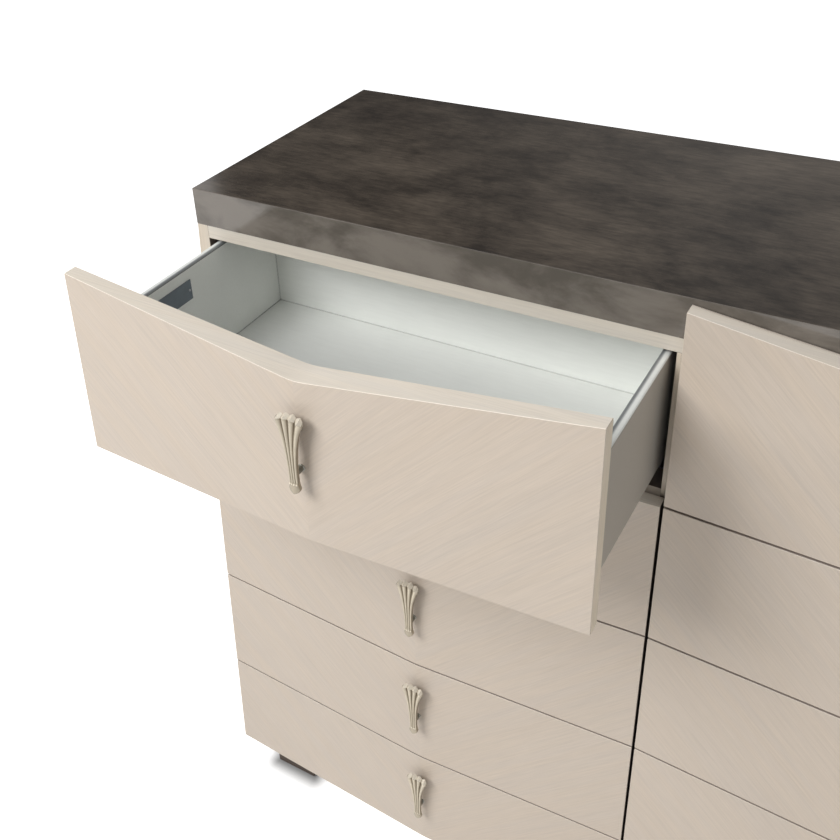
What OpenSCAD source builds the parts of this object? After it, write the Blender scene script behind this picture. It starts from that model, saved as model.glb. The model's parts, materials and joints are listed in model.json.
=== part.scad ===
// Mule chest: a wide, tall chest of drawers with two columns of five drawers.
// X runs along the width, Y from the front to the back, Z up. The origin is on the
// floor, under the middle of the whole part with its upper left drawer drawn open.

/* [Top slab] */
// Width of the slab at its front edge
slab_w = 1414; // [1100:5:1700]
// Depth of the slab
slab_d = 447; // [400:1:520]
// Thickness of the slab
slab_t = 55; // [30:1:80]
// How far the slab stands in front of the case's front edges
slab_lip = 1; // [0.5:0.5:20]
// How much each end of the slab and the case draws in from front to back
end_taper = 12; // [2:1:30]

/* [Case] */
// Thickness of the partition, the bottom, and the sides at their upper edge
panel_t = 18; // [15:0.5:25]
// How far each end of the case stands out at its lower edge
case_splay = 68; // [20:1:110]
// Thickness of the back panel
back_t = 6; // [4:0.5:12]
// How far the back panel lies inside the case's rear edge
back_inset = 3; // [1:0.5:15]
// Height of the rails under the slab
top_rail_h = 20; // [15:1:40]
// Thickness of the rails between the drawers
rail_t = 18; // [12:1:25]
// Depth of every rail, front to back
rail_d = 60; // [40:1:90]

/* [Feet] */
// Height of the feet with their glides
foot_h = 101; // [60:1:140]
// Side length of the square feet
foot_w = 86; // [40:1:110]
// From the case's end to a foot
foot_inset_x = 48; // [10:1:120]
// From the case's front or back edge to a foot
foot_inset_y = 20; // [5:1:60]
// Thickness of the glide under a foot
glide_t = 4; // [2:0.5:8]
// How far a glide lies inside the foot's faces
glide_inset = 12; // [4:1:18]

/* [Drawer fronts] */
// Height of the top drawers' fronts at their ends
top_front_h = 277.5; // [240:0.5:320]
// Height of the fronts in the four lower rows
low_front_h = 227.5; // [190:0.5:270]
// Gap between one row of fronts and the next
row_gap = 3.5; // [2:0.5:6]
// Gap between the two columns of fronts
column_gap = 4; // [2:0.5:8]
// From the case's splayed end to the fronts' outer edge
end_reveal = 1.5; // [0.5:0.5:10]
// From the slab's top down to the top fronts' upper corners
top_reveal = 7.5; // [4:0.5:30]
// How far the lowest fronts hang below the case
front_drop = 2; // [0:0.5:8]
// Thickness of a front at its inner end
front_t = 20; // [16:0.5:30]
// How far the fold in the middle of a front stands forward
fold_d = 17; // [8:1:35]
// How far the upper edge of a top front dips at the fold
dip_h = 44; // [10:1:60]
// Half the width over which the dip is rounded at the fold
dip_round = 15; // [5:1:60]
// Clearance between the slab's front face and a front's back
front_gap = 1; // [0.5:0.5:4]

/* [Drawer boxes] */
// Thickness of the box walls
wall_t = 12; // [9:0.5:15]
// Radius of the walls' upper edges
wall_round = 3; // [1:0.5:5]
// Thickness of the box bottom
floor_t = 4; // [3:0.5:8]
// From the lower edge of the walls to the underside of the box bottom
floor_up = 8; // [1:0.5:12]
// Depth of the groove that holds the box bottom
groove_d = 5; // [3:0.5:6]
// Clearance between a box and the case on each side
box_side_gap = 7.5; // [4:0.5:20]
// Clearance above a box
box_top_gap = 7; // [4:1:25]
// Length of a box, front to back
box_l = 373; // [300:1:410]
// How far the upper left drawer is drawn open
open_s = 236; // [0:1:320]

/* [Runners] */
// Height of a whole runner, from its seat to the box
runner_h = 28; // [22:0.5:34]
// Height of the case member, and of the middle member
member_h = 8.5; // [5:0.1:10]
// Width of a runner's three members
runner_w = 24; // [16:1:34]
// Length of a runner's members
runner_l = 300; // [250:1:325]
// Sheet thickness of the members
sheet_t = 1.6; // [1:0.1:2.5]
// Running gap between the members
running_gap = 0.3; // [0.2:0.05:0.6]
// From a box's outer face to its runner, along X
runner_inset = 7; // [0:0.5:10]
// From the case's front edge to the runners
runner_setback = 38; // [20:1:50]
// From the box down to the flange's upper edge
flange_drop = 2; // [0.5:0.5:6]

/* [Pulls] */
// Length of a pull
pull_l = 108; // [80:1:140]
// Width of a pull at its flared top
pull_top_w = 37; // [20:1:60]
// Width of a pull at its round lower end
pull_low_w = 15; // [12:0.5:24]
// Width of a pull's stem above that end
pull_stem_w = 12; // [8:0.5:24]
// Thickness of a pull
pull_t = 9; // [5:0.5:14]
// Finger gap between a pull and the fold
pull_gap = 12; // [10:1:32]
// From the upper edge of the front at the fold to the pull
pull_drop = 38; // [10:1:60]
// Distance between the pull's two posts
post_pitch = 57; // [40:1:80]
// Radius of a post
post_r = 4; // [3:0.5:6]
// Radius of a pull screw's shank
screw_r = 2; // [1.5:0.25:2.5]
// Radius of a pull screw's head
screw_head_r = 4.2; // [3.5:0.1:6]
// Height of a pull screw's head
screw_head_h = 2.6; // [2:0.1:4]
// Length of a screw's thread inside its post
screw_grip = 9; // [5:1:12]
// Depth of the head's pocket in the back of a front
pocket_d = 6; // [4:0.5:10]
// Rise of a pull's upper edge in the middle of the fan
crown_h = 5; // [0:0.5:10]
// Number of grooves between the ribs of a pull
groove_n = 3; // [2:1:6]
// Depth of those grooves
rib_d = 2; // [0.5:0.25:4]

/* [Plate] */
// Length of the bare metal plate inside the upper left drawer
plate_l = 76; // [40:1:120]
// Height of the plate
plate_h = 30.5; // [20:0.5:60]
// Thickness of the plate
plate_t = 1; // [0.5:0.1:2]
// From the back of the drawer's front to the plate
plate_y = 88; // [40:1:160]
// From the wall's upper edge down to the plate
plate_drop = 18.5; // [10:0.5:40]
// Radius of the plate's two pins
pin_r = 1.6; // [1:0.1:2.5]
// From the plate's ends to its pins
pin_inset = 5; // [3:0.5:12]

/* [Hidden] */
$fn = 48;
// Assembly gap between glued pieces, and the least clearance of a screw
fit = 0.1;
screw_fit = 0.2;

last_row = 5;
rows = [1:last_row];
sides = ["l", "r"];

// Heights, from the floor up
case_z = foot_h;
fronts_z = case_z - front_drop;
fronts_h = top_front_h + (last_row - 1) * (low_front_h + row_gap);
slab_top_z = fronts_z + fronts_h + top_reveal;
slab_z = slab_top_z - slab_t;

// Places from the front to the back
pull_reach = pull_gap + pull_t;
total_d = open_s + pull_reach + fold_d + front_t + front_gap + slab_d;
slab_y = total_d / 2 - slab_d;
case_y = slab_y + slab_lip;
case_d = slab_d - slab_lip;
back_y = slab_y + slab_d - back_inset - back_t;
front_back_y = slab_y - front_gap;
fold_t = front_t + fold_d;

// Places along the width
inner_x = slab_w / 2 - panel_t;
bay_w = inner_x - panel_t / 2;
bay_x = panel_t / 2 + bay_w / 2;
box_w = bay_w - 2 * box_side_gap;

// The fold lies in the middle of a top front's upper edge
splay_rate = case_splay / (slab_z - case_z);
top_end_x = front_end_x(front_top(1));
fold_x = (top_end_x + column_gap / 2) / 2;
half_w = top_end_x - fold_x;
// A top front is made this much too high, and the dip takes it off
dip_spare = 5;

// The runner's members: two of one height, and one that fills what is left
upper_h = runner_h - 2 * (member_h + running_gap);
flange_h = runner_h - flange_drop;
runner_x = box_side_gap + runner_inset;
runner_y = case_y + runner_setback;

screw_l = fold_t - pocket_d + screw_grip;
post_edge = (pull_l - post_pitch) / 2;

// Outer end of the case, and of the fronts, at a height
function case_end_x(z) = slab_w / 2 + splay_rate * (slab_z - z);
function front_end_x(z) = case_end_x(z) - end_reveal;
// How far a drawer is drawn open in the rest pose
function opened(s, r) = s == "l" && r == 1 ? open_s : 0;
// Lower edge of a row's fronts, and their upper edge at the ends and at the fold
function front_z(r) = fronts_z + (last_row - r) * (low_front_h + row_gap);
function front_h(r) = r == 1 ? top_front_h : low_front_h;
function front_top(r) = front_z(r) + front_h(r);
function fold_top(r) = front_top(r) - (r == 1 ? dip_h : 0);
// Upper face of the rail below a row, and the clear height of its bay
function bay_z(r) = r == last_row ? case_z + panel_t : front_z(r) - row_gap / 2 + rail_t / 2;
function bay_top(r) = r == 1 ? slab_z - top_rail_h : front_top(r) + row_gap / 2 - rail_t / 2;
function box_z(r) = bay_z(r) + runner_h;
function box_h(r) = bay_top(r) - box_top_gap - box_z(r);

// A box given by its least corner and its size
module block(x, y, z, w, d, h) {
    translate([x, y, z]) cube([w, d, h]);
}

// Children twice, mirrored across the plane x = 0
module both_sides() {
    children();
    mirror([1, 0, 0]) children();
}

// Children in the right column, or mirrored into the left one
module column(s) {
    if (s == "l") mirror([1, 0, 0]) children();
    else children();
}

// Places a box's pieces: x = 0 is the middle of the bay, y = 0 the front's back
module at_box(s, r) {
    column(s) translate([bay_x, front_back_y - opened(s, r), 0]) children();
}

module top_slab() {
    front = slab_w / 2;
    rear = front - end_taper;
    color([0.23, 0.21, 0.2]) translate([0, slab_y, slab_z]) linear_extrude(slab_t)
        polygon([[-front, 0], [front, 0], [rear, slab_d], [-rear, slab_d]]);
}

// A side is upright inside and splayed outside, so it thickens towards the floor
module side(s) {
    color([0.85, 0.8, 0.73]) column(s) difference() {
        translate([0, case_y, 0]) along_y(case_d) polygon([
            [inner_x, case_z], [case_end_x(case_z) + 1, case_z],
            [case_end_x(slab_z) + 1, slab_z], [inner_x, slab_z]
        ]);
        beyond_end();
    }
}

// What lies outside the end of the case, which leans out downward and in to the rear
module beyond_end() {
    turn = atan(end_taper / slab_d);
    lean = -atan(splay_rate * cos(turn));
    translate([slab_w / 2, slab_y, slab_z]) rotate([0, lean, turn])
        block(0, -slab_z, -2 * slab_z, slab_z, 2 * slab_z, 3 * slab_z);
}

// The partition is notched round the two rails under the slab
module centre_partition() {
    z = case_z + panel_t;
    d = back_y - case_y;
    color([0.83, 0.78, 0.71]) difference() {
        block(-panel_t / 2, case_y, z, panel_t, d, slab_z - z);
        for (y = [case_y - 1, back_y - rail_d])
            block(-panel_t, y, slab_z - top_rail_h, 2 * panel_t, rail_d + 1, top_rail_h + 1);
    }
}

module back_panel() {
    color([0.72, 0.68, 0.6])
        block(-inner_x + fit, back_y, case_z, 2 * (inner_x - fit), back_t, slab_z - case_z);
}

module bottom_panel() {
    color([0.83, 0.78, 0.71])
        block(-inner_x, case_y, case_z, 2 * inner_x, back_y - case_y, panel_t);
}

// Two long rails under the slab, and a short rail under each drawer but the lowest
module rails() {
    color([0.85, 0.8, 0.73]) {
        for (y = [case_y, back_y - rail_d])
            block(-inner_x, y, slab_z - top_rail_h, 2 * inner_x, rail_d, top_rail_h);
        for (s = sides, r = [1:last_row - 1])
            column(s) block(bay_x - bay_w / 2, case_y, bay_z(r) - rail_t, bay_w, rail_d, rail_t);
    }
}

module foot() {
    block(0, 0, glide_t, foot_w, foot_w, foot_h - glide_t);
    color([0.12, 0.12, 0.12])
        block(glide_inset, glide_inset, 0, foot_w - 2 * glide_inset, foot_w - 2 * glide_inset,
            glide_t - fit);
}

module feet() {
    color([0.2, 0.16, 0.14]) both_sides() {
        for (y = [case_y + foot_inset_y, case_y + case_d - foot_inset_y - foot_w])
            translate([case_end_x(case_z) - foot_inset_x - foot_w, y, 0]) foot();
    }
}

// Section of the case member: a flange on the wall, a web, and a shallow channel.
// x = 0 is the wall and y = 0 the seat
module case_member_section() {
    polygon([
        [0, 0], [runner_x + runner_w, 0], [runner_x + runner_w, member_h],
        [runner_x + runner_w - sheet_t, member_h], [runner_x + runner_w - sheet_t, sheet_t],
        [runner_x + sheet_t, sheet_t], [runner_x + sheet_t, member_h],
        [runner_x, member_h], [runner_x, sheet_t], [sheet_t, sheet_t],
        [sheet_t, flange_h], [0, flange_h]
    ]);
}

// Section of the two moving members: a channel that opens downward
module channel_section(h) {
    polygon([
        [0, 0], [sheet_t, 0], [sheet_t, h - sheet_t], [runner_w - sheet_t, h - sheet_t],
        [runner_w - sheet_t, 0], [runner_w, 0], [runner_w, h], [0, h]
    ]);
}

// Extrudes a section along +Y, with the section's own y turned up
module along_y(l) {
    translate([0, l, 0]) rotate([90, 0, 0]) linear_extrude(l) children();
}

module case_runners() {
    color([0.7, 0.71, 0.72])
        for (s = sides, r = rows)
            column(s) translate([bay_x, runner_y, bay_z(r)])
                both_sides() translate([-bay_w / 2, 0, 0]) along_y(runner_l) case_member_section();
}

module slide(s, r) {
    z = bay_z(r) + member_h + running_gap;
    color([0.62, 0.63, 0.65])
        column(s) translate([bay_x, runner_y - opened(s, r) / 2, z])
            both_sides() translate([-bay_w / 2 + runner_x, 0, 0])
                along_y(runner_l) channel_section(member_h);
}

module runner(s, r) {
    z = box_z(r) - upper_h;
    color([0.7, 0.71, 0.72])
        column(s) translate([bay_x, runner_y - opened(s, r), z])
            both_sides() translate([-bay_w / 2 + runner_x, 0, 0])
                along_y(runner_l) channel_section(upper_h);
}

// Places a front or a pull: x = 0 is the fold and y = 0 the front's back
module at_fold(s, r) {
    column(s) translate([fold_x, front_back_y - opened(s, r), 0]) children();
}

// Plan of a front: flat behind, and folded forward at x = 0. Its outer half runs on
// to where the lowest front ends
module front_plan() {
    end_x = front_end_x(fronts_z) - fold_x;
    polygon([
        [-half_w, 0], [-half_w, -front_t], [0, -fold_t],
        [end_x, fold_d * end_x / half_w - fold_t], [end_x, 0]
    ]);
}

// Heights of the two posts of a row's pull
function post_z(r) = [for (k = [0, 1]) fold_top(r) - pull_drop - pull_l + post_edge + k * post_pitch];

module front(s, r) {
    spare = r == 1 ? dip_spare : 0;
    color([0.84, 0.78, 0.7]) at_fold(s, r) difference() {
        translate([0, 0, front_z(r)]) linear_extrude(front_h(r) + spare) front_plan();
        end_cut(front_z(r) - 1, front_top(r) + spare + 1);
        if (r == 1) dip(front_top(r));
        for (z = post_z(r)) translate([0, 0, z]) {
            screw_bore(screw_r + screw_fit, fold_t + 1);
            screw_bore(screw_head_r + screw_fit, pocket_d);
        }
    }
}

// What lies outside the splayed end of a front between two heights
module end_cut(z1, z2) {
    far_x = front_end_x(fronts_z) + fold_t;
    translate([-fold_x, -fold_t - 1, 0]) along_y(fold_t + 2)
        polygon([[front_end_x(z1), z1], [far_x, z1], [far_x, z2], [front_end_x(z2), z2]]);
}

// The wedge that the dipped upper edge takes off a top front, round at the fold
module dip(z) {
    steps = 12;
    rise = dip_h / half_w;
    low = [for (k = [-steps:steps]) let (x = dip_round * k / steps)
        [x, -dip_h * (1 - (x * x / dip_round + dip_round) / (2 * half_w))]];
    high = dip_spare + 1;
    translate([0, -fold_t - 1, z]) along_y(fold_t + 2)
        polygon(concat([[-half_w - 1, rise]], low,
            [[half_w + 1, rise], [half_w + 1, high], [-half_w - 1, high]]));
}

// A bore from the back of a front, running forward
module screw_bore(r, l) {
    translate([0, 1, 0]) rotate([90, 0, 0]) cylinder(r = r, h = l + 1);
}

// Outline of a pull: a fan above a round lower end, drawn from that end's centre
module pull_outline() {
    low_r = pull_low_w / 2;
    stem_r = pull_stem_w / 2;
    steps = 12;
    rise = pull_l - low_r - crown_h;
    right = [for (k = [0:steps]) let (t = k / steps)
        [stem_r + (pull_top_w / 2 - stem_r) * pow(t, 3), rise * t]];
    left = [for (k = [steps:-1:0]) [-right[k][0], right[k][1]]];
    circle(low_r);
    polygon(concat(right, [[0, rise + crown_h]], left));
}

module pull(s, r) {
    z = fold_top(r) - pull_drop - pull_l;
    color([0.72, 0.69, 0.62])
        at_fold(s, r) translate([0, -fold_t, z]) {
            difference() {
                union() {
                    translate([0, -pull_gap, pull_low_w / 2])
                        rotate([90, 0, 0]) linear_extrude(pull_t) pull_outline();
                    for (k = [0, 1]) translate([0, 0, post_edge + k * post_pitch])
                        rotate([90, 0, 0]) cylinder(r = post_r, h = pull_gap + 1);
                }
                pull_grooves();
                for (k = [0, 1]) translate([0, 1, post_edge + k * post_pitch])
                    rotate([90, 0, 0]) cylinder(r = screw_r + screw_fit, h = screw_grip + 2);
            }
            for (k = [0, 1]) translate([0, fold_t - pocket_d, post_edge + k * post_pitch]) pull_screw();
        }
}

// Grooves that part the ribs, fanned out from below the pull
module pull_grooves() {
    centre_z = -pull_l / 2;
    fan = atan((pull_top_w / 2) / (pull_l - centre_z));
    for (k = [1:groove_n])
        translate([0, -pull_gap - pull_t, centre_z])
            rotate([0, fan * (2 * k / (groove_n + 1) - 1), 0])
                translate([0, 0, pull_low_w - centre_z]) linear_extrude(2 * pull_l)
                    polygon([[-rib_d, -fit], [0, rib_d], [rib_d, -fit]]);
}

// A screw whose head's inner face is at y = 0 and whose shank runs forward
module pull_screw() {
    rotate([90, 0, 0]) cylinder(r = screw_r, h = screw_l);
    rotate([-90, 0, 0]) cylinder(r = screw_head_r, h = screw_head_h);
}

// A wall that runs along Y, with rounded upper edges and a groove for the box bottom
module box_side(h) {
    difference() {
        union() {
            block(0, 0, 0, wall_t, box_l, h - wall_round);
            block(wall_round, 0, 0, wall_t - 2 * wall_round, box_l, h);
            for (x = [wall_round, wall_t - wall_round]) translate([x, 0, h - wall_round])
                along_y(box_l) circle(wall_round);
        }
        block(wall_t - groove_d, -1, floor_up - fit, groove_d + 1, box_l + 2, floor_t + 2 * fit);
    }
}

module box(s, r) {
    h = box_h(r);
    inner_w = box_w - 2 * wall_t;
    cross_h = h - floor_up - floor_t - fit;
    cross_z = floor_up + floor_t + fit;
    color([0.84, 0.85, 0.84]) at_box(s, r) translate([0, 0, box_z(r)]) {
        both_sides() translate([-box_w / 2, 0, 0]) box_side(h);
        for (y = [0, box_l - wall_t])
            block(-inner_w / 2 + fit, y, cross_z, inner_w - 2 * fit, wall_t, cross_h - wall_round);
        block(-inner_w / 2 - groove_d + fit, 0, floor_up, inner_w + 2 * (groove_d - fit),
            box_l, floor_t);
    }
}

// The bare plate on the inner face of the upper left drawer's outer wall
module drawer_plate() {
    x = box_w / 2 - wall_t;
    z = box_z(1) + box_h(1) - plate_drop - plate_h;
    color([0.25, 0.27, 0.29]) at_box("l", 1) translate([x, plate_y, z]) {
        block(-plate_t, 0, 0, plate_t, plate_l, plate_h);
        for (y = [pin_inset, plate_l - pin_inset])
            translate([-2 * plate_t, y, plate_h / 2]) rotate([0, 90, 0]) cylinder(r = pin_r, h = plate_t);
    }
}

top_slab();
side("l");  // side_left
side("r");  // side_right
centre_partition();
back_panel();
bottom_panel();
rails();
feet();
case_runners();
drawer_plate();
for (s = sides, r = rows) {
    front(s, r);
    box(s, r);
    pull(s, r);
    runner(s, r);
    slide(s, r);
}
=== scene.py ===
"""Looks of the mule chest: camera, light, materials and the dressed pieces."""
import json
import math

import bmesh
import bpy
from mathutils import Matrix, Vector

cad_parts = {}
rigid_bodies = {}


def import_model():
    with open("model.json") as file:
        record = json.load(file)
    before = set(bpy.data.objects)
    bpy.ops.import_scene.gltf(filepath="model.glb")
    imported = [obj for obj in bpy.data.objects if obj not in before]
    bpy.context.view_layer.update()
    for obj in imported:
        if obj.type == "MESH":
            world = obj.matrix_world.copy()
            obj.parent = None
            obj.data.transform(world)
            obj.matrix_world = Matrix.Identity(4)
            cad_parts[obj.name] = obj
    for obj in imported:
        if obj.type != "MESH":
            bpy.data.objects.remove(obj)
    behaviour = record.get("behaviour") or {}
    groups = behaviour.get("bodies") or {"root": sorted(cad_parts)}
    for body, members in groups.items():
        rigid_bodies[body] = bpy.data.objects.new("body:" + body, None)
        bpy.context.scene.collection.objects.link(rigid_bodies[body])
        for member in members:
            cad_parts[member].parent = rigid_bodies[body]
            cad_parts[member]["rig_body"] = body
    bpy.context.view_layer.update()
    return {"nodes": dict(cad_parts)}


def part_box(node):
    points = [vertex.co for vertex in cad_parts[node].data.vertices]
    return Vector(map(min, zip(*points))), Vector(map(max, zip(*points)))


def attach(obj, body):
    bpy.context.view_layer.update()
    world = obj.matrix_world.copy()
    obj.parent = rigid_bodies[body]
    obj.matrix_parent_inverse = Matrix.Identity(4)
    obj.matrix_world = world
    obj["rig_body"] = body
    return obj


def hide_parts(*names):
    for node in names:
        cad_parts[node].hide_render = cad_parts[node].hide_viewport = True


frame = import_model()
scene = bpy.context.scene
nodes = frame["nodes"]

# All lengths are in metres
SIDES = {"l": -1, "r": 1}
DRAWERS = [f"{s}{r}" for s in SIDES for r in range(1, 6)]
IMAGE_SIZE = 840

# Distances from the chest's middle to the fold of a front and to the middle of a drawer box
pull_low, pull_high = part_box("pull_r2")
FOLD_X = (pull_low.x + pull_high.x) / 2
box_low, box_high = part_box("box_r2")
BOX_X = (box_low.x + box_high.x) / 2
BOX_HALF = (box_high.x - box_low.x) / 2
WALL_T = 0.012
slab_low, slab_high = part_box("top_slab")

# Slack when the outer and the inner face of a box's wall are told by their x
OUTER_SLACK = 0.0006
INNER_SLACK = 0.0004

# Reach of the painted shade in the seams of a box and in the gaps beside veneered edges
SEAM_SHADE_REACH = 0.004
GAP_REACH = 0.012

# A face looks along an axis when its normal's part along that axis is greater than this
FACING = 0.6

# Strength of the soft light from all around
SKY_LEVEL = 0.3


class Graph:
    """The nodes of a material or a world, with short calls for the kinds used here."""

    SOCKETS = {"color": "Base Color", "rough": "Roughness", "metal": "Metallic", "ior": "IOR",
               "normal": "Normal"}

    def __init__(self, owner):
        owner.use_nodes = True
        self.owner = owner
        self.tree = owner.node_tree
        self.tree.nodes.clear()

    def node(self, kind, inputs=(), **settings):
        made = self.tree.nodes.new(kind)
        for key, value in settings.items():
            setattr(made, key, value)
        for key, value in dict(inputs).items():
            self.put(made.inputs[key], value)
        return made

    def put(self, socket, value):
        if isinstance(value, bpy.types.NodeSocket):
            self.tree.links.new(value, socket)
        else:
            socket.default_value = value

    def math(self, operation, a, b=0.0):
        return self.node("ShaderNodeMath", {0: a, 1: b}, operation=operation).outputs[0]

    def add(self, a, b):
        return self.math("ADD", a, b)

    def mul(self, a, b):
        return self.math("MULTIPLY", a, b)

    def most(self, first, *others):
        """The greatest of several values."""
        for other in others:
            first = self.math("MAXIMUM", first, other)
        return first

    def distance(self, value, middle):
        """How far a coordinate lies from a middle, on either side."""
        return self.math("ABSOLUTE", self.math("SUBTRACT", value, middle))

    def vector(self, x, y, z):
        return self.node("ShaderNodeCombineXYZ", {0: x, 1: y, 2: z}).outputs[0]

    def split(self, vector):
        parts = self.node("ShaderNodeSeparateXYZ", {0: vector})
        return [parts.outputs[k] for k in range(3)]

    def place(self):
        """The piece's own coordinates at rest: x, y and z."""
        return self.split(self.node("ShaderNodeTexCoord").outputs["Object"])

    def upward(self):
        """The upward part of the face's normal, from -1 to 1."""
        return self.split(self.node("ShaderNodeNewGeometry").outputs["True Normal"])[2]

    def openness(self, reach):
        """1 on an open face, and less where other faces stand within the reach."""
        near = self.node("ShaderNodeAmbientOcclusion", {"Distance": reach}, samples=6)
        return near.outputs["AO"]

    def noise(self, vector, detail, roughness=0.5, distortion=0.0):
        made = self.node(
            "ShaderNodeTexNoise",
            {"Vector": vector, "Scale": 1.0, "Detail": detail, "Roughness": roughness,
             "Distortion": distortion},
        )
        return made.outputs[0]

    def noise_at(self, place, per_metre, **settings):
        """Noise whose features come so many times per metre along x, y and z."""
        scaled = [self.mul(axis, scale) for axis, scale in zip(place, per_metre)]
        return self.noise(self.vector(*scaled), **settings)

    def remap(self, value, low, high, to_low=0.0, to_high=1.0, smooth=False):
        made = self.node(
            "ShaderNodeMapRange",
            {0: value, 1: low, 2: high, 3: to_low, 4: to_high},
            interpolation_type="SMOOTHSTEP" if smooth else "LINEAR",
            clamp=True,
        )
        return made.outputs[0]

    def spread(self, noise, amount, more=None):
        """The middle of a noise as a value near one: 1 - amount to 1 + more."""
        return self.remap(noise, 0.3, 0.7, 1 - amount, 1 + (amount if more is None else more))

    def mix(self, factor, a, b):
        made = self.node("ShaderNodeMix", data_type="RGBA")
        for key, value in ((0, factor), (6, a), (7, b)):
            self.put(made.inputs[key], value)
        return made.outputs[2]

    def tone(self, colour, value):
        """A colour made lighter or darker by a value near one."""
        made = self.node("ShaderNodeMix", data_type="RGBA", blend_type="MULTIPLY")
        for key, given in ((0, 1.0), (6, colour), (7, self.vector(value, value, value))):
            self.put(made.inputs[key], given)
        return made.outputs[2]

    def bump(self, height, distance):
        made = self.node("ShaderNodeBump",
                         {"Height": height, "Distance": distance, "Strength": 1.0})
        return made.outputs[0]

    def surface(self, **inputs):
        """Ends a material, with the Principled shader's inputs by their short names."""
        shader = self.node("ShaderNodeBsdfPrincipled",
                           {self.SOCKETS[key]: value for key, value in inputs.items()})
        self.node("ShaderNodeOutputMaterial", {"Surface": shader.outputs[0]})
        return self.owner


def material_graph(name):
    return Graph(bpy.data.materials.new(name))


def rgb(r, g, b):
    """A shader colour from 0 to 255 screen values."""
    def linear(v):
        v /= 255
        return v / 12.92 if v <= 0.04045 else ((v + 0.055) / 1.055) ** 2.4
    return (linear(r), linear(g), linear(b), 1.0)


WHITE = (1, 1, 1, 1)
VENEER = rgb(205, 192, 178)
VENEER_EDGE = rgb(234, 225, 212)
# Painted shade for the narrow gaps beside upright veneered edges
GAP_PAINTED_SHADE = rgb(60, 50, 45)

# What the broad bands of the veneer take from its colour, and how much each grain varies it
BAND_TINT = (1.0, 0.985, 0.96, 1.0)
FINE_AMOUNT, HAIR_AMOUNT, BAND_AMOUNT, LEAF_AMOUNT = 0.05, 0.045, 0.015, 0.012
LINE_AMOUNT = 0.035


def grained(graph, across, along, base, contrast=1.0):
    """Colour, roughness and height of brushed veneer, from its two grain coordinates."""
    def layer(across_scale, along_scale, seed, detail):
        spot = graph.vector(graph.mul(across, across_scale), graph.mul(along, along_scale), seed)
        return graph.noise(spot, detail)

    fine = layer(900, 22, 0.3, 2)
    hair = layer(330, 7, 4.1, 3)
    band = layer(46, 1.6, 9.7, 2)
    leaf = layer(9, 0.7, 2.2, 1)
    line = graph.remap(hair, 0.58, 0.7, smooth=True)
    value = graph.remap(fine, 0.25, 0.75, 1 - FINE_AMOUNT * contrast, 1 + FINE_AMOUNT * contrast)
    for part, amount in ((hair, HAIR_AMOUNT), (band, BAND_AMOUNT), (leaf, LEAF_AMOUNT)):
        value = graph.mul(value, graph.spread(part, amount * contrast))
    value = graph.mul(value, graph.remap(line, 0, 1, 1.0, 1 - LINE_AMOUNT * contrast))
    tinted = tuple(c * k for c, k in zip(base, BAND_TINT))
    warm = graph.mix(graph.remap(band, 0.35, 0.65), base, tinted)
    height = graph.add(graph.mul(fine, 0.5), graph.add(hair, graph.mul(line, -0.6)))
    rough = graph.remap(hair, 0.3, 0.7, 0.42, 0.52)
    return graph.tone(warm, value), rough, height


def chevron_material():
    """Veneer of the fronts: its grain climbs at 45 degrees away from the fold."""
    graph = material_graph("veneer_chevron")
    x, _, z = graph.place()
    off = graph.distance(graph.math("ABSOLUTE", x), FOLD_X)
    half = math.sqrt(0.5)
    across = graph.mul(graph.math("SUBTRACT", z, off), half)
    along = graph.mul(graph.add(z, off), half)
    # Each half of a front, and each column, has another leaf of the same veneer
    column_shift, half_shift = 3.7, 1.9
    along = graph.add(along, graph.mul(graph.math("SIGN", x), column_shift))
    outer = graph.math("GREATER_THAN", graph.math("ABSOLUTE", x), FOLD_X)
    along = graph.add(along, graph.mul(outer, half_shift))
    colour, rough, height = grained(graph, across, along, VENEER)
    return graph.surface(color=colour, rough=rough, normal=graph.bump(height, 0.00012), ior=1.45)


def straight_material(name, grain, base, contrast=1.0, painted_gap_shade=None):
    """Veneer with its grain along one axis: x, y or z. Narrow gaps can take a painted shade."""
    graph = material_graph(name)
    axes = dict(zip("xyz", graph.place()))
    along = axes.pop(grain)
    across = graph.add(*axes.values())
    colour, rough, height = grained(graph, across, along, base, contrast)
    # Painted shade: the colour turns toward the gap's shade where other faces stand near
    if painted_gap_shade:
        open_part = graph.remap(graph.openness(GAP_REACH), 0.45, 0.8, smooth=True)
        colour = graph.mix(open_part, painted_gap_shade, colour)
    return graph.surface(color=colour, rough=rough, normal=graph.bump(height, 0.0001), ior=1.45)


def slab_material():
    """Dark mottled veneer under gloss lacquer, smokier and painted paler on its upright faces as a
    painted reflection.
    """
    graph = material_graph("slab_lacquer")
    place = graph.place()
    cloud = graph.noise_at(place, (7, 10, 10), detail=7, roughness=0.7, distortion=0.2)
    streak = graph.noise_at(place, (36, 210, 90), detail=4, roughness=0.65)
    spot_seed = 1.7
    spot_place = graph.vector(graph.mul(place[0], 4.5), graph.mul(place[1], 7), spot_seed)
    spot = graph.noise(spot_place, detail=5, roughness=0.6, distortion=0.3)
    dark, mid, pale = rgb(46, 39, 33), rgb(80, 71, 62), rgb(112, 101, 89)
    colour = graph.mix(graph.remap(cloud, 0.38, 0.6), dark, mid)
    colour = graph.mix(graph.remap(spot, 0.46, 0.68, 0, 0.6), colour, pale)
    colour = graph.tone(colour, graph.remap(streak, 0.3, 0.7, 0.73, 1.27))
    # Painted reflection: the upright faces take a paler colour than the top
    face_cloud = graph.noise_at(place, (8, 10, 17), detail=6, roughness=0.6, distortion=0.4)
    face = graph.mix(graph.remap(face_cloud, 0.36, 0.64, smooth=True),
                     rgb(92, 86, 79), rgb(125, 118, 110))
    level = graph.math("ABSOLUTE", graph.upward())
    colour = graph.mix(graph.remap(level, 0.4, 0.6), face, colour)
    return graph.surface(color=colour, rough=0.1, ior=1.5)


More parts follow.
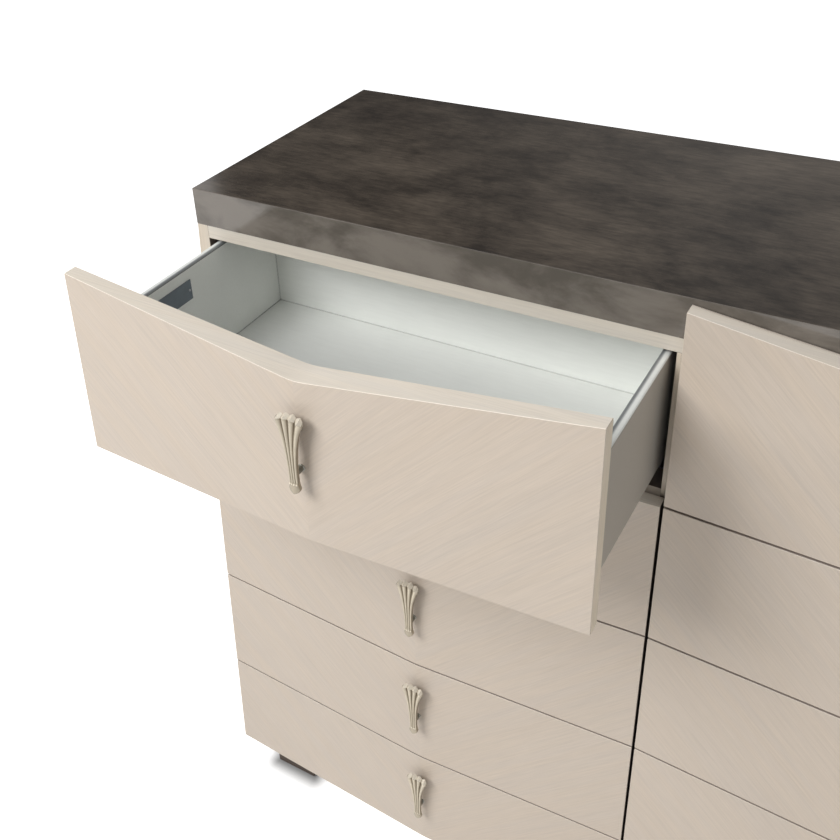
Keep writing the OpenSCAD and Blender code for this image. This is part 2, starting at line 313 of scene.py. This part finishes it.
def paint_material():
    """Cool pale paint of the drawer boxes, rolled on and then brushed out."""
    graph = material_graph("drawer_paint")
    place = graph.place()
    cloud = graph.noise_at(place, (7, 7, 7), detail=3)
    brush = graph.noise_at(place, (30, 260, 260), detail=3)
    peel = graph.noise_at(place, (900, 900, 900), detail=1)
    value = graph.mul(graph.spread(cloud, 0.025), graph.spread(brush, 0.015))
    height = graph.add(graph.mul(brush, 0.6), graph.mul(peel, 0.4))
    # The outer faces of the boxes are a darker, warmer grey
    off = graph.distance(graph.math("ABSOLUTE", place[0]), BOX_X)
    outside = graph.math("GREATER_THAN", off, BOX_HALF - OUTER_SLACK)
    colour = graph.mix(outside, rgb(240, 242, 238), rgb(182, 178, 170))
    # Painted shade: the inner half of the walls' round upper edges is painted a darker grey
    upper = graph.math("GREATER_THAN", graph.upward(), 0.15)
    on_wall = graph.math("GREATER_THAN", off, BOX_HALF - WALL_T - INNER_SLACK)
    inner = graph.remap(off, BOX_HALF - 0.45 * WALL_T, BOX_HALF - 0.75 * WALL_T, smooth=True)
    painted_edge_shade = graph.mul(graph.mul(upper, on_wall), inner)
    colour = graph.mix(painted_edge_shade, colour, rgb(128, 131, 132))
    # Painted shade: the paint darkens where other faces stand near, so a thin dark seam shows
    # where walls and bottom meet
    seam_shade = graph.remap(graph.openness(SEAM_SHADE_REACH), 0.5, 0.72, 0.62, 1.0)
    colour = graph.tone(colour, graph.mul(value, seam_shade))
    return graph.surface(color=colour, rough=graph.remap(cloud, 0.3, 0.7, 0.38, 0.48),
                         normal=graph.bump(height, 0.00005), ior=1.45)


def pull_material():
    """Satin champagne nickel, with darker and duller metal down in the flutes: patina and painted
    shade there, and painted shade on the cap and the rear side.
    """
    graph = material_graph("pull_nickel")
    place = graph.place()
    flute_patina_and_shade = graph.node("ShaderNodeAttribute", attribute_name="flute_patina_and_shade").outputs["Fac"]
    grain = graph.noise_at(place, (900, 900, 160), detail=3)
    cast = graph.noise_at(place, (120, 120, 90), detail=2)
    bright, patina_and_shade = rgb(200, 191, 173), rgb(122, 111, 95)
    colour = graph.mix(graph.remap(flute_patina_and_shade, 0.0, 0.9, 0.0, 0.85), bright, patina_and_shade)
    colour = graph.tone(colour, graph.spread(cast, 0.07, 0.06))
    rough = graph.add(graph.remap(grain, 0.3, 0.7, 0.3, 0.4), graph.mul(flute_patina_and_shade, 0.15))
    return graph.surface(color=colour, rough=rough, metal=0.85,
                         normal=graph.bump(grain, 0.00003))


def metal_material(name, colour, rough, metal=1.0):
    """Sheet metal with a faint rolling grain from front to back."""
    graph = material_graph(name)
    place = graph.place()
    roll = graph.noise_at(place, (1400, 40, 1400), detail=2)
    cloud = graph.noise_at(place, (60, 60, 60), detail=3)
    shade = graph.mul(graph.spread(roll, 0.06, 0.05), graph.spread(cloud, 0.07, 0.06))
    return graph.surface(color=graph.tone(colour, shade), metal=metal,
                         rough=graph.remap(roll, 0.3, 0.7, rough, rough + 0.12),
                         normal=graph.bump(roll, 0.00002))


def plastic_material(name, colour):
    """Dull moulded plastic with a fine peel."""
    graph = material_graph(name)
    peel = graph.noise_at(graph.place(), (700, 700, 700), detail=2)
    return graph.surface(color=graph.tone(colour, graph.spread(peel, 0.1)),
                         rough=0.55, normal=graph.bump(peel, 0.00008))


chevron = chevron_material()
edge_x = straight_material("veneer_edge_x", "x", VENEER_EDGE, painted_gap_shade=rgb(158, 144, 135))
edge_z = straight_material("veneer_edge_z", "z", rgb(210, 199, 184), painted_gap_shade=GAP_PAINTED_SHADE)
# Painted light: the front ends that look to the right take this paler veneer
end_z_painted_light = straight_material("veneer_end_z", "z", rgb(246, 236, 218), painted_gap_shade=GAP_PAINTED_SHADE)
rail_veneer = straight_material("veneer_rail", "x", rgb(212, 205, 194))
# Painted shade: the partition's faces toward the drawers are near black
inner_board_painted_shade = straight_material("inner_board_painted_shade", "z", rgb(24, 21, 19), contrast=2.0)
side_board = straight_material("side_board", "z", rgb(104, 94, 86), contrast=2.0)
# Painted shade: the rails behind the fronts are a darker veneer, standing in for the shadow of the
# drawer boxes above them
low_rail_painted_shade = straight_material("veneer_low_rail", "x", rgb(170, 160, 148))
side_veneer = straight_material("veneer_side", "z", VENEER)
board = straight_material("back_board", "z", rgb(196, 184, 168), contrast=1.6)
slab_lacquer = slab_material()
paint = paint_material()
nickel = pull_material()
# Painted highlight: the upward end faces of the pulls take a paler, less metallic nickel
nickel_end_painted_highlight = metal_material("pull_nickel_end", rgb(212, 204, 189), 0.45, metal=0.45)
post_steel = metal_material("pull_post", rgb(140, 140, 132), 0.35)
zinc = metal_material("runner_zinc", rgb(186, 188, 192), 0.3)
slate = metal_material("plate_slate", rgb(104, 112, 120), 0.38, metal=0.6)
stain = straight_material("foot_stain", "z", rgb(72, 60, 52), contrast=3.0)
glide = plastic_material("glide_plastic", rgb(38, 38, 38))


# Pieces

def mesh_object(name, bm, materials):
    mesh = bpy.data.meshes.new(name)
    bm.to_mesh(mesh)
    bm.free()
    for material in materials:
        mesh.materials.append(material)
    made = bpy.data.objects.new(name, mesh)
    scene.collection.objects.link(made)
    return made


def smooth(obj, degrees):
    """Shades a mesh smooth, apart from edges that turn by more than an angle."""
    mesh = obj.data
    mesh.polygons.foreach_set("use_smooth", [True] * len(mesh.polygons))
    mesh.set_sharp_from_angle(angle=math.radians(degrees))


def dress(obj, node):
    """The piece stands for a CAD node and moves with its body."""
    body = nodes[node]["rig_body"]
    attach(obj, body)
    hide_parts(node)


def set_material(node, material):
    mesh = nodes[node].data
    mesh.materials.clear()
    mesh.materials.append(material)


def bridge(bm, rings):
    """Faces from each ring of corners to the next one."""
    for a, b in zip(rings, rings[1:]):
        for k in range(len(a)):
            n = (k + 1) % len(a)
            bm.faces.new((a[k], a[n], b[n], b[k]))


def eased(node, width, materials, pick=None, shortest=0.004):
    """A copy of a CAD node with its sharp edges eased, but for those that are very short."""
    bm = bmesh.new()
    bm.from_mesh(nodes[node].data)
    bmesh.ops.remove_doubles(bm, verts=bm.verts, dist=1e-5)
    bmesh.ops.dissolve_limit(bm, angle_limit=math.radians(0.5), verts=bm.verts, edges=bm.edges)
    sharp = [
        e for e in bm.edges
        if len(e.link_faces) == 2 and e.calc_length() > shortest
        and e.calc_face_angle(0) > math.radians(25)
    ]
    bmesh.ops.bevel(bm, geom=sharp, offset=width, segments=2, profile=0.5,
                    affect="EDGES", clamp_overlap=True)
    bm.normal_update()
    for face in bm.faces:
        face.material_index = pick(face) if pick else 0
    return mesh_object(f"{node}_eased", bm, materials)


# Fronts

# Widths over which a front's fold and the lowest point of its dip are rounded
FOLD_ROUND = 0.008
DIP_ROUND = 0.015
FRONT_EASE = 0.0005
TOUCHING = 1e-4

# Corners of a front's section: side, level, and the parts of the ease along y and along z
FRONT_CORNERS = (
    ("back", "low", 0, 1), ("back", "low", 1, 0), ("face", "low", 1, 0), ("face", "low", 0, 1),
    ("face", "high", 0, 1), ("face", "high", 1, 0), ("back", "high", 1, 0), ("back", "high", 0, 1),
)


def soft_abs(value, width):
    """The absolute value, rounded near zero."""
    if abs(value) >= width:
        return abs(value)
    return (value * value / width + width) / 2


class FrontShape:
    """Sizes of one front, read from its CAD node. x runs outward from the chest's middle."""

    def __init__(self, key):
        self.sign = SIDES[key[0]]
        points = [Vector((self.sign * v.co.x, v.co.y, v.co.z))
                  for v in nodes[f"front_{key}"].data.vertices]
        self.z0 = min(p.z for p in points)
        self.z1 = max(p.z for p in points)
        self.back = max(p.y for p in points)
        self.face = min(p.y for p in points)
        inner = min(p.x for p in points)
        self.end_low = max(p.x for p in points if p.z < self.z0 + TOUCHING)
        self.end_high = max(p.x for p in points if p.z > self.z1 - TOUCHING)
        self.half = FOLD_X - inner
        inner_face = min(p.y for p in points if p.x < inner + TOUCHING)
        self.fold_d = inner_face - self.face
        at_fold = [p.z for p in points if abs(p.x - FOLD_X) < TOUCHING]
        self.dip = self.z1 - max(at_fold)

    def end_x(self, z):
        t = (z - self.z0) / (self.z1 - self.z0)
        return self.end_low + t * (self.end_high - self.end_low)

    def x(self, s, z):
        """s from -1 at the inner end, through 0 at the fold, to 1 at the outer end."""
        return FOLD_X + s * (self.half if s < 0 else self.end_x(z) - FOLD_X)

    def face_y(self, x):
        return self.face + self.fold_d * soft_abs(x - FOLD_X, FOLD_ROUND) / self.half

    def top_z(self, x):
        if self.dip < TOUCHING:
            return self.z1
        full = self.dip / (1 - DIP_ROUND / (2 * self.half))
        return self.z1 - full * (1 - min(soft_abs(x - FOLD_X, DIP_ROUND) / self.half, 1))


def dressed_front(key):
    """A front with a softened fold, eased edges and veneered faces."""
    shape = FrontShape(key)
    inner_s = [-1 + k / 14 for k in range(14)]
    near_fold = [k / 100 for k in range(-5, 6) if k]
    stations = sorted(inner_s + [-s for s in inner_s] + near_fold)
    bm = bmesh.new()

    def ring(s, inset, shift):
        """Corners of the section at s, drawn in by inset and moved along x by shift."""
        loop = []
        for side, level, y_part, z_part in FRONT_CORNERS:
            z = shape.z0 if level == "low" else shape.top_z(shape.x(s, shape.z1))
            z += (1 if level == "low" else -1) * (inset + FRONT_EASE * z_part)
            x = shape.x(s, z) + shift
            y = shape.back - inset - FRONT_EASE * y_part
            if side == "face":
                y = shape.face_y(x) + inset + FRONT_EASE * y_part
            loop.append(bm.verts.new((shape.sign * x, y, z)))
        return loop

    rings = [ring(stations[0], FRONT_EASE, 0.0), ring(stations[0], 0.0, FRONT_EASE)]
    rings += [ring(s, 0.0, 0.0) for s in stations[1:-1]]
    rings += [ring(stations[-1], 0.0, -FRONT_EASE), ring(stations[-1], FRONT_EASE, 0.0)]
    bridge(bm, rings)
    bm.faces.new(rings[0])
    bm.faces.new(rings[-1][::-1])
    bmesh.ops.recalc_face_normals(bm, faces=bm.faces)
    for face in bm.faces:
        across, level = face.normal.x, abs(face.normal.z)
        if abs(across) < FACING:
            face.material_index = 0 if level < FACING else 1
        else:
            # Upright ends that look to the right are painted paler as painted light
            face.material_index = 2 if across > 0.8 else 3
    made = mesh_object(f"front_{key}_veneered", bm, [chevron, edge_x, end_z_painted_light, edge_z])
    smooth(made, 4)
    dress(made, f"front_{key}")


# Pulls: a cap, a stem and a fan, in sizes that the CAD box does not give
CAP_R = 0.0075
STEM_R = 0.006
FAN_EXTRA = 0.0006
PULL_T = 0.009
CROWN = 0.005
RIBS = 4
RIB_FOOT = 0.0135
RIB_RISE = 0.004
POST_R = 0.004
POST_PITCH = 0.057

# Outer side: depth of the pleats as a share of half the width, and how far it stands back at
# the stem's crests, at its edges beside the ribs and the cap, and at the cap's lower end
PLEAT_SHARE = 0.25
PLEAT_POWER = 0.85
CREST = 0.0016
RIB_SWELL = 0.0012
CAP_SWELL = 0.0042
CAP_DOME = 0.12

# Rear side: its curve, its part of the pleats, and how the fan thickens and narrows upward
REAR_SWELL = 0.0014
REAR_PLEAT = 0.4
REAR_DOME = 0.3
REAR_FLARE = 0.002
REAR_NARROW = 0.03

# Upper end: how deep the valleys notch it, and how it leans from the outer to the rear side
END_NOTCH = 0.0026
END_LEAN = {"outer": -0.0008, "rear": 0.0024}
END_EASE = 0.0003
END_REACH = 0.012

# How much painted shade darkens the nickel on the cap and on the rear side, as far as in a flute
CAP_PAINTED_SHADE = 0.65
REAR_PAINTED_SHADE = 0.5

# Heights of the sections from the cap to the ribs' feet, and where the even ones start
CAP_HEIGHTS = (0.0002, 0.0008, 0.0017, 0.003, 0.0045, 0.006, 0.0075, 0.009, 0.0105, 0.012)
EVEN_FROM = 0.0155
EVEN_STEPS = 40
ACROSS_STEPS = 64

# Beads at the feet of the ribs, and the collars of the posts
BEAD_R = 0.0015
BEAD_UP = 0.0008
BEAD_SIDES = 12
BEAD_RINGS = 8
COLLAR_EXTRA = 0.0008
COLLAR_T = 0.0012
COLLAR_END = 0.0018
POST_SINK = 0.0004
POST_BITE = 0.004


def pull_half_width(z, length, top_r):
    """Half the width of a pull at a height: a round cap, a stem and a flaring fan."""
    if z < CAP_R:
        return math.sqrt(max(CAP_R ** 2 - (CAP_R - z) ** 2, 1e-8))
    fan = min((z - CAP_R) / (length - CAP_R - CROWN), 1)
    stem = STEM_R + (top_r - STEM_R) * fan ** 3
    # The cap's shoulder sweeps in to the stem where the ribs start
    blend = min((z - CAP_R) / (RIB_FOOT - CAP_R), 1)
    return CAP_R + (stem - CAP_R) * blend * blend * (3 - 2 * blend)


def pleat(u):
    """Height of the pleats across a pull: 1 on each rib's crest, 0 in the valleys."""
    part = ((u + 1) / 2 * RIBS) % 1
    return (1 - abs(2 * part - 1)) ** PLEAT_POWER


def rounding(share):
    """How far a circle of radius one has fallen back at a share of its radius."""
    return 1 - math.sqrt(max(1 - share ** 2, 0))


def dressed_pull(key):
    """A pleated fan of four ribs that end in beads above a round cap, on two posts."""
    node = f"pull_{key}"
    low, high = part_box(node)
    fold = FrontShape(key).face
    length, outer = high.z - low.z, low.y
    top_r = (high.x - low.x) / 2 + FAN_EXTRA
    rise = length - CROWN
    bm = bmesh.new()
    flute_patina_and_shade = bm.verts.layers.float.new("flute_patina_and_shade")

    def section(z, back_off):
        """Corners at a height: the pleated outer side, then the rear side."""
        wide = pull_half_width(z, length, top_r)
        grow = min(max((z - RIB_FOOT) / RIB_RISE, 0), 1)
        depth = grow * PLEAT_SHARE * wide
        crest = CREST * grow * (1 - z / length)
        dome = rounding(max(CAP_R - z, 0) / CAP_R)
        flare = (z / rise) ** 4
        loop = []
        for side in ("outer", "rear"):
            for k in range(ACROSS_STEPS + 1):
                u = 2 * k / ACROSS_STEPS - 1
                if side == "rear":
                    u = -u
                valley = 1 - pleat(u)
                end = CROWN * (1 - u * u) - END_NOTCH * valley + END_LEAN[side]
                tall = end * (z / rise) ** 10
                curve = rounding(0.985 * u)
                if side == "outer":
                    swell = (RIB_SWELL * grow + CAP_SWELL * (1 - grow)) * curve
                    y = outer + crest + swell + depth * valley + back_off
                    y += CAP_DOME * PULL_T * dome
                    half, patina_and_shade = wide * u, valley * grow + CAP_PAINTED_SHADE * (1 - grow)
                else:
                    y = outer + PULL_T - REAR_SWELL * curve - REAR_PLEAT * depth * valley
                    y += REAR_FLARE * flare
                    y -= REAR_DOME * PULL_T * dome
                    half, patina_and_shade = wide * u * (1 - REAR_NARROW * flare), REAR_PAINTED_SHADE
                vert = bm.verts.new((half, y, low.z + z + tall))
                # Darkening painted on each corner: patina and painted shade in the valleys,
                # painted shade on the cap and the rear side
                vert[flute_patina_and_shade] = patina_and_shade
                loop.append(vert)
        return loop

    span = rise - END_EASE - EVEN_FROM
    heights = [*CAP_HEIGHTS, RIB_FOOT]
    heights += [EVEN_FROM + k * span / EVEN_STEPS for k in range(EVEN_STEPS + 1)]
    rows = [section(z, 0) for z in heights] + [section(rise, END_EASE)]
    bridge(bm, rows)
    for row, turn in ((rows[0], -1), (rows[-1], 1)):
        for k in range(ACROSS_STEPS):
            bm.faces.new((row[k], row[k + 1], row[-k - 2], row[-k - 1])[::turn])
    for k in range(RIBS):
        u = (2 * k + 1) / RIBS - 1
        add_bead(bm, Vector((STEM_R * u, outer + CREST + RIB_SWELL * u * u,
                             low.z + RIB_FOOT + BEAD_UP)))
    cast_faces = len(bm.faces)
    for z in (low.z + (length - POST_PITCH) / 2, low.z + (length + POST_PITCH) / 2):
        turned(bm, Vector((0, fold + POST_SINK, z)), [
            (0.0, POST_R + COLLAR_EXTRA), (COLLAR_T, POST_R + COLLAR_EXTRA),
            (COLLAR_END, POST_R), (fold - outer - POST_BITE, POST_R)])
    bmesh.ops.translate(bm, verts=bm.verts, vec=Vector(((low.x + high.x) / 2, 0, 0)))
    add_screws(bm, node)
    bm.faces.ensure_lookup_table()
    for face in bm.faces[cast_faces:]:
        face.material_index = 1
    bmesh.ops.recalc_face_normals(bm, faces=bm.faces)
    # Upward faces at the upper end take the nickel with the painted highlight
    for face in bm.faces[:cast_faces]:
        if face.normal.z > FACING and face.calc_center_median().z > high.z - END_REACH:
            face.material_index = 2
    made = mesh_object(f"{node}_cast", bm, [nickel, post_steel, nickel_end_painted_highlight])
    smooth(made, 32)
    dress(made, node)


def add_bead(bm, middle):
    """A small ball, built ring by ring so that its faces come in the same order each run."""
    rings = []
    for j in range(1, BEAD_RINGS):
        tilt = math.pi * j / BEAD_RINGS
        wide, up = BEAD_R * math.sin(tilt), -BEAD_R * math.cos(tilt)
        turns = [2 * math.pi * k / BEAD_SIDES for k in range(BEAD_SIDES)]
        rings.append([bm.verts.new(middle + Vector((wide * math.cos(a), wide * math.sin(a), up)))
                      for a in turns])
    bridge(bm, rings)
    for ring, up in ((rings[0], -BEAD_R), (rings[-1], BEAD_R)):
        tip = bm.verts.new(middle + Vector((0, 0, up)))
        for k in range(BEAD_SIDES):
            bm.faces.new((ring[k], ring[(k + 1) % BEAD_SIDES], tip))


def turned(bm, base, profile, segments=24):
    """A round bar along -Y from base, through (distance, radius) pairs."""
    rings = []
    for along, radius in profile:
        ring = []
        for k in range(segments):
            a = 2 * math.pi * k / segments
            ring.append(bm.verts.new(base + Vector((radius * math.cos(a), -along,
                                                    radius * math.sin(a)))))
        rings.append(ring)
    bridge(bm, rings)
    bm.faces.new(rings[0])
    bm.faces.new(rings[-1][::-1])


def islands(bm):
    """The vertices of a mesh, in groups that edges join."""
    seen, groups = set(), []
    for start in bm.verts:
        if start in seen:
            continue
        stack, group = [start], []
        seen.add(start)
        while stack:
            vert = stack.pop()
            group.append(vert)
            for edge in vert.link_edges:
                other = edge.other_vert(vert)
                if other not in seen:
                    seen.add(other)
                    stack.append(other)
        groups.append(group)
    return groups


def add_screws(bm, node):
    """The pull's two screws, taken from the CAD node as they are."""
    source = bmesh.new()
    source.from_mesh(nodes[node].data)
    bmesh.ops.remove_doubles(source, verts=source.verts, dist=1e-6)
    casting_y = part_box(node)[0].y + 0.001
    for island in islands(source):
        if min(v.co.y for v in island) < casting_y:
            continue
        copies = {v: bm.verts.new(v.co) for v in island}
        for face in source.faces:
            if face.verts[0] in copies:
                bm.faces.new([copies[v] for v in face.verts])
    source.free()


# Case and plate

# Faces of rails nearer to the slab than this belong to the long rail, and the glides' height
LONG_RAIL_REACH = 0.05
GLIDE_TOP = 0.0042

# Distance of a pin from the end of the plate, and how far its faces lie from its middle
PIN_INSET = 0.005
PIN_REACH = 0.0019


def side_pick(face):
    """Outer veneer, edges, and the board that faces the drawers."""
    if abs(face.normal.x) < FACING:
        return 1
    return 0 if face.normal.x * face.calc_center_median().x > 0.1 else 2


def rail_pick(face):
    """The long front rail, the rails behind the fronts with their painted shade, then all level
    faces.
    """
    if abs(face.normal.z) > FACING:
        return 2
    return 0 if face.calc_center_median().z > slab_low.z - LONG_RAIL_REACH else 1


def foot_pick(face):
    return 1 if face.calc_center_median().z < GLIDE_TOP else 0


def dressed_case():
    dress(eased("top_slab", 0.001, [slab_lacquer]), "top_slab")
    # The partition's board toward the drawers carries the painted shade
    for node, inner in (("side_left", side_board), ("side_right", side_board),
                        ("centre_partition", inner_board_painted_shade)):
        dress(eased(node, 0.0006, [side_veneer, edge_z, inner], side_pick), node)
    rails = eased("rails", 0.0005, [rail_veneer, low_rail_painted_shade, side_board], rail_pick)
    dress(rails, "rails")
    dress(eased("feet", 0.0015, [stain, glide], foot_pick), "feet")


def dressed_plate():
    """The bare plate inside a drawer, held by two bright pins."""
    low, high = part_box("drawer_plate")
    middle = (low + high) / 2

    def pin_pick(face):
        spot = face.calc_center_median()
        along = abs(spot.y - middle.y) - (high.y - middle.y - PIN_INSET)
        return 1 if math.hypot(along, spot.z - middle.z) < PIN_REACH else 0
    dress(eased("drawer_plate", 0.0003, [slate, zinc], pin_pick, 0.001), "drawer_plate")


dressed_case()
dressed_plate()
for key in DRAWERS:
    dressed_front(key)
    dressed_pull(key)
    set_material(f"box_{key}", paint)
    set_material(f"runner_{key}", zinc)
    set_material(f"slide_{key}", zinc)
set_material("case_runners", zinc)
set_material("back_panel", board)
set_material("bottom_panel", board)


# Stage, light and camera

FLOOR_HALF = 15
FOOT_HALF = 0.043

# Where the two side walls that gloss sees begin, in degrees from straight back
LEFT_WALL_DEG = 41.3
RIGHT_WALL_DEG = 62


def make_floor():
    """A white floor that shows its shade most beside the feet, where it is also painted darker as
    painted shadow.
    """
    bm = bmesh.new()
    bmesh.ops.create_grid(bm, x_segments=1, y_segments=1, size=FLOOR_HALF)
    graph = material_graph("floor_white")
    x, y, _ = graph.place()
    foot_low, foot_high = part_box("feet")
    rows = ((x, 0.0, foot_high.x),
            (y, (foot_low.y + foot_high.y) / 2, (foot_high.y - foot_low.y) / 2))
    away = []
    for value, middle, reach in rows:
        off = graph.distance(graph.distance(value, middle), reach - FOOT_HALF)
        away.append(graph.most(graph.math("SUBTRACT", off, FOOT_HALF), 0))
    distance = graph.math("SQRT", graph.add(*(graph.mul(a, a) for a in away)))
    glow_level = graph.remap(distance, 0.0, 0.05, 0.06, 0.9)
    path = graph.node("ShaderNodeLightPath").outputs
    seen = graph.most(path["Is Camera Ray"], path["Is Glossy Ray"], path["Is Transmission Ray"])
    # Painted shadow: the floor's colour darkens within a few centimetres of the feet
    shade = graph.mix(graph.remap(distance, 0.0, 0.03, smooth=True),
                      rgb(150, 150, 150), rgb(238, 238, 238))
    diffuse = graph.node("ShaderNodeBsdfDiffuse", {"Color": shade})
    glow = graph.node("ShaderNodeEmission",
                      {"Color": WHITE, "Strength": graph.mul(seen, glow_level)})
    both = graph.node("ShaderNodeAddShader", {0: diffuse.outputs[0], 1: glow.outputs[0]})
    graph.node("ShaderNodeOutputMaterial", {"Surface": both.outputs[0]})
    mesh_object("studio_floor", bm, [graph.owner])


def make_world():
    """A white studio in which gloss sees a dark flag behind the chest, between white walls."""
    scene.world = bpy.data.worlds.new("studio")
    graph = Graph(scene.world)
    path = graph.node("ShaderNodeLightPath").outputs
    x, y, z = graph.split(graph.node("ShaderNodeTexCoord").outputs["Generated"])
    left_edge = graph.mul(y, math.tan(math.radians(LEFT_WALL_DEG)))
    left = graph.math("SUBTRACT", graph.mul(x, -1), left_edge)
    left = graph.remap(left, -0.006, 0.006, smooth=True)
    right_edge = graph.mul(y, math.tan(math.radians(RIGHT_WALL_DEG)))
    right = graph.math("SUBTRACT", x, right_edge)
    right = graph.remap(right, -0.05, 0.05, smooth=True)
    ahead = graph.remap(graph.mul(y, -1), -0.02, 0.12, 0, 0.75, smooth=True)
    above = graph.remap(z, 0.62, 0.85, 0, 0.6, smooth=True)
    # The flag is darkest at the left wall and fades toward the right
    slope = graph.math("DIVIDE", x, graph.most(y, 0.05))
    flag = graph.remap(slope, -0.58, -0.2, 0.1, 0.3)
    gloss = graph.most(left, right, ahead, above, flag)

    def pick(kind, otherwise, value):
        chosen = graph.node("ShaderNodeMix", data_type="FLOAT")
        for key, given in ((0, path[kind]), (2, otherwise), (3, value)):
            graph.put(chosen.inputs[key], given)
        return chosen.outputs[0]

    # A little more light comes from the right and from in front
    sky = graph.mul(graph.remap(x, -0.3, 0.7, SKY_LEVEL * 0.95, SKY_LEVEL * 1.2, smooth=True),
                    graph.remap(graph.mul(y, -1), -0.3, 0.9, 0.8, 1.25))
    strength = pick("Is Glossy Ray", sky, gloss)
    strength = pick("Is Transmission Ray", strength, 1.0)
    strength = pick("Is Camera Ray", strength, 1.0)
    background = graph.node("ShaderNodeBackground", {"Color": WHITE, "Strength": strength})
    graph.node("ShaderNodeOutputWorld", {"Surface": background.outputs[0]})


def make_lamp(name, place, aim, size, power):
    """A rectangular soft box at a place, turned toward its aim."""
    data = bpy.data.lights.new(name, "AREA")
    data.shape = "RECTANGLE"
    data.size, data.size_y = size
    data.energy = power
    lamp = bpy.data.objects.new(name, data)
    scene.collection.objects.link(lamp)
    lamp.location = place
    toward = Vector(aim) - Vector(place)
    lamp.rotation_euler = toward.to_track_quat("-Z", "Y").to_euler()


def make_camera():
    """The photograph's viewpoint, fitted to the straight edges that it shows."""
    yaw, pitch, roll = (math.radians(v) for v in (32.854, -31.855, -3.608))
    focal_px, centre_x, centre_y = 1064.47, 370.58, 331.08
    place = Vector((0.24624, slab_low.y - 1.03618, slab_high.z + 0.60681))
    forward = Vector((-math.sin(yaw) * math.cos(pitch), math.cos(yaw) * math.cos(pitch),
                      math.sin(pitch)))
    level = Vector((math.cos(yaw), math.sin(yaw), 0))
    upright = level.cross(forward)
    right = math.cos(roll) * level + math.sin(roll) * upright
    up = -math.sin(roll) * level + math.cos(roll) * upright
    data = bpy.data.cameras.new("photo_camera")
    data.sensor_width = 36
    data.lens = focal_px / IMAGE_SIZE * data.sensor_width
    data.shift_x = (IMAGE_SIZE / 2 - centre_x) / IMAGE_SIZE
    data.shift_y = (centre_y - IMAGE_SIZE / 2) / IMAGE_SIZE
    data.clip_end = 100
    camera = bpy.data.objects.new("photo_camera", data)
    scene.collection.objects.link(camera)
    turn = Matrix((right, up, -forward)).transposed()
    camera.matrix_world = Matrix.Translation(place) @ turn.to_4x4()
    scene.camera = camera


make_floor()
make_world()
make_lamp("key", place=(-1.68, -2.75, 3.6), aim=(-0.25, -0.2, 0.95), size=(2.0, 2.0), power=127)
make_camera()
scene.view_settings.view_transform = "Standard"
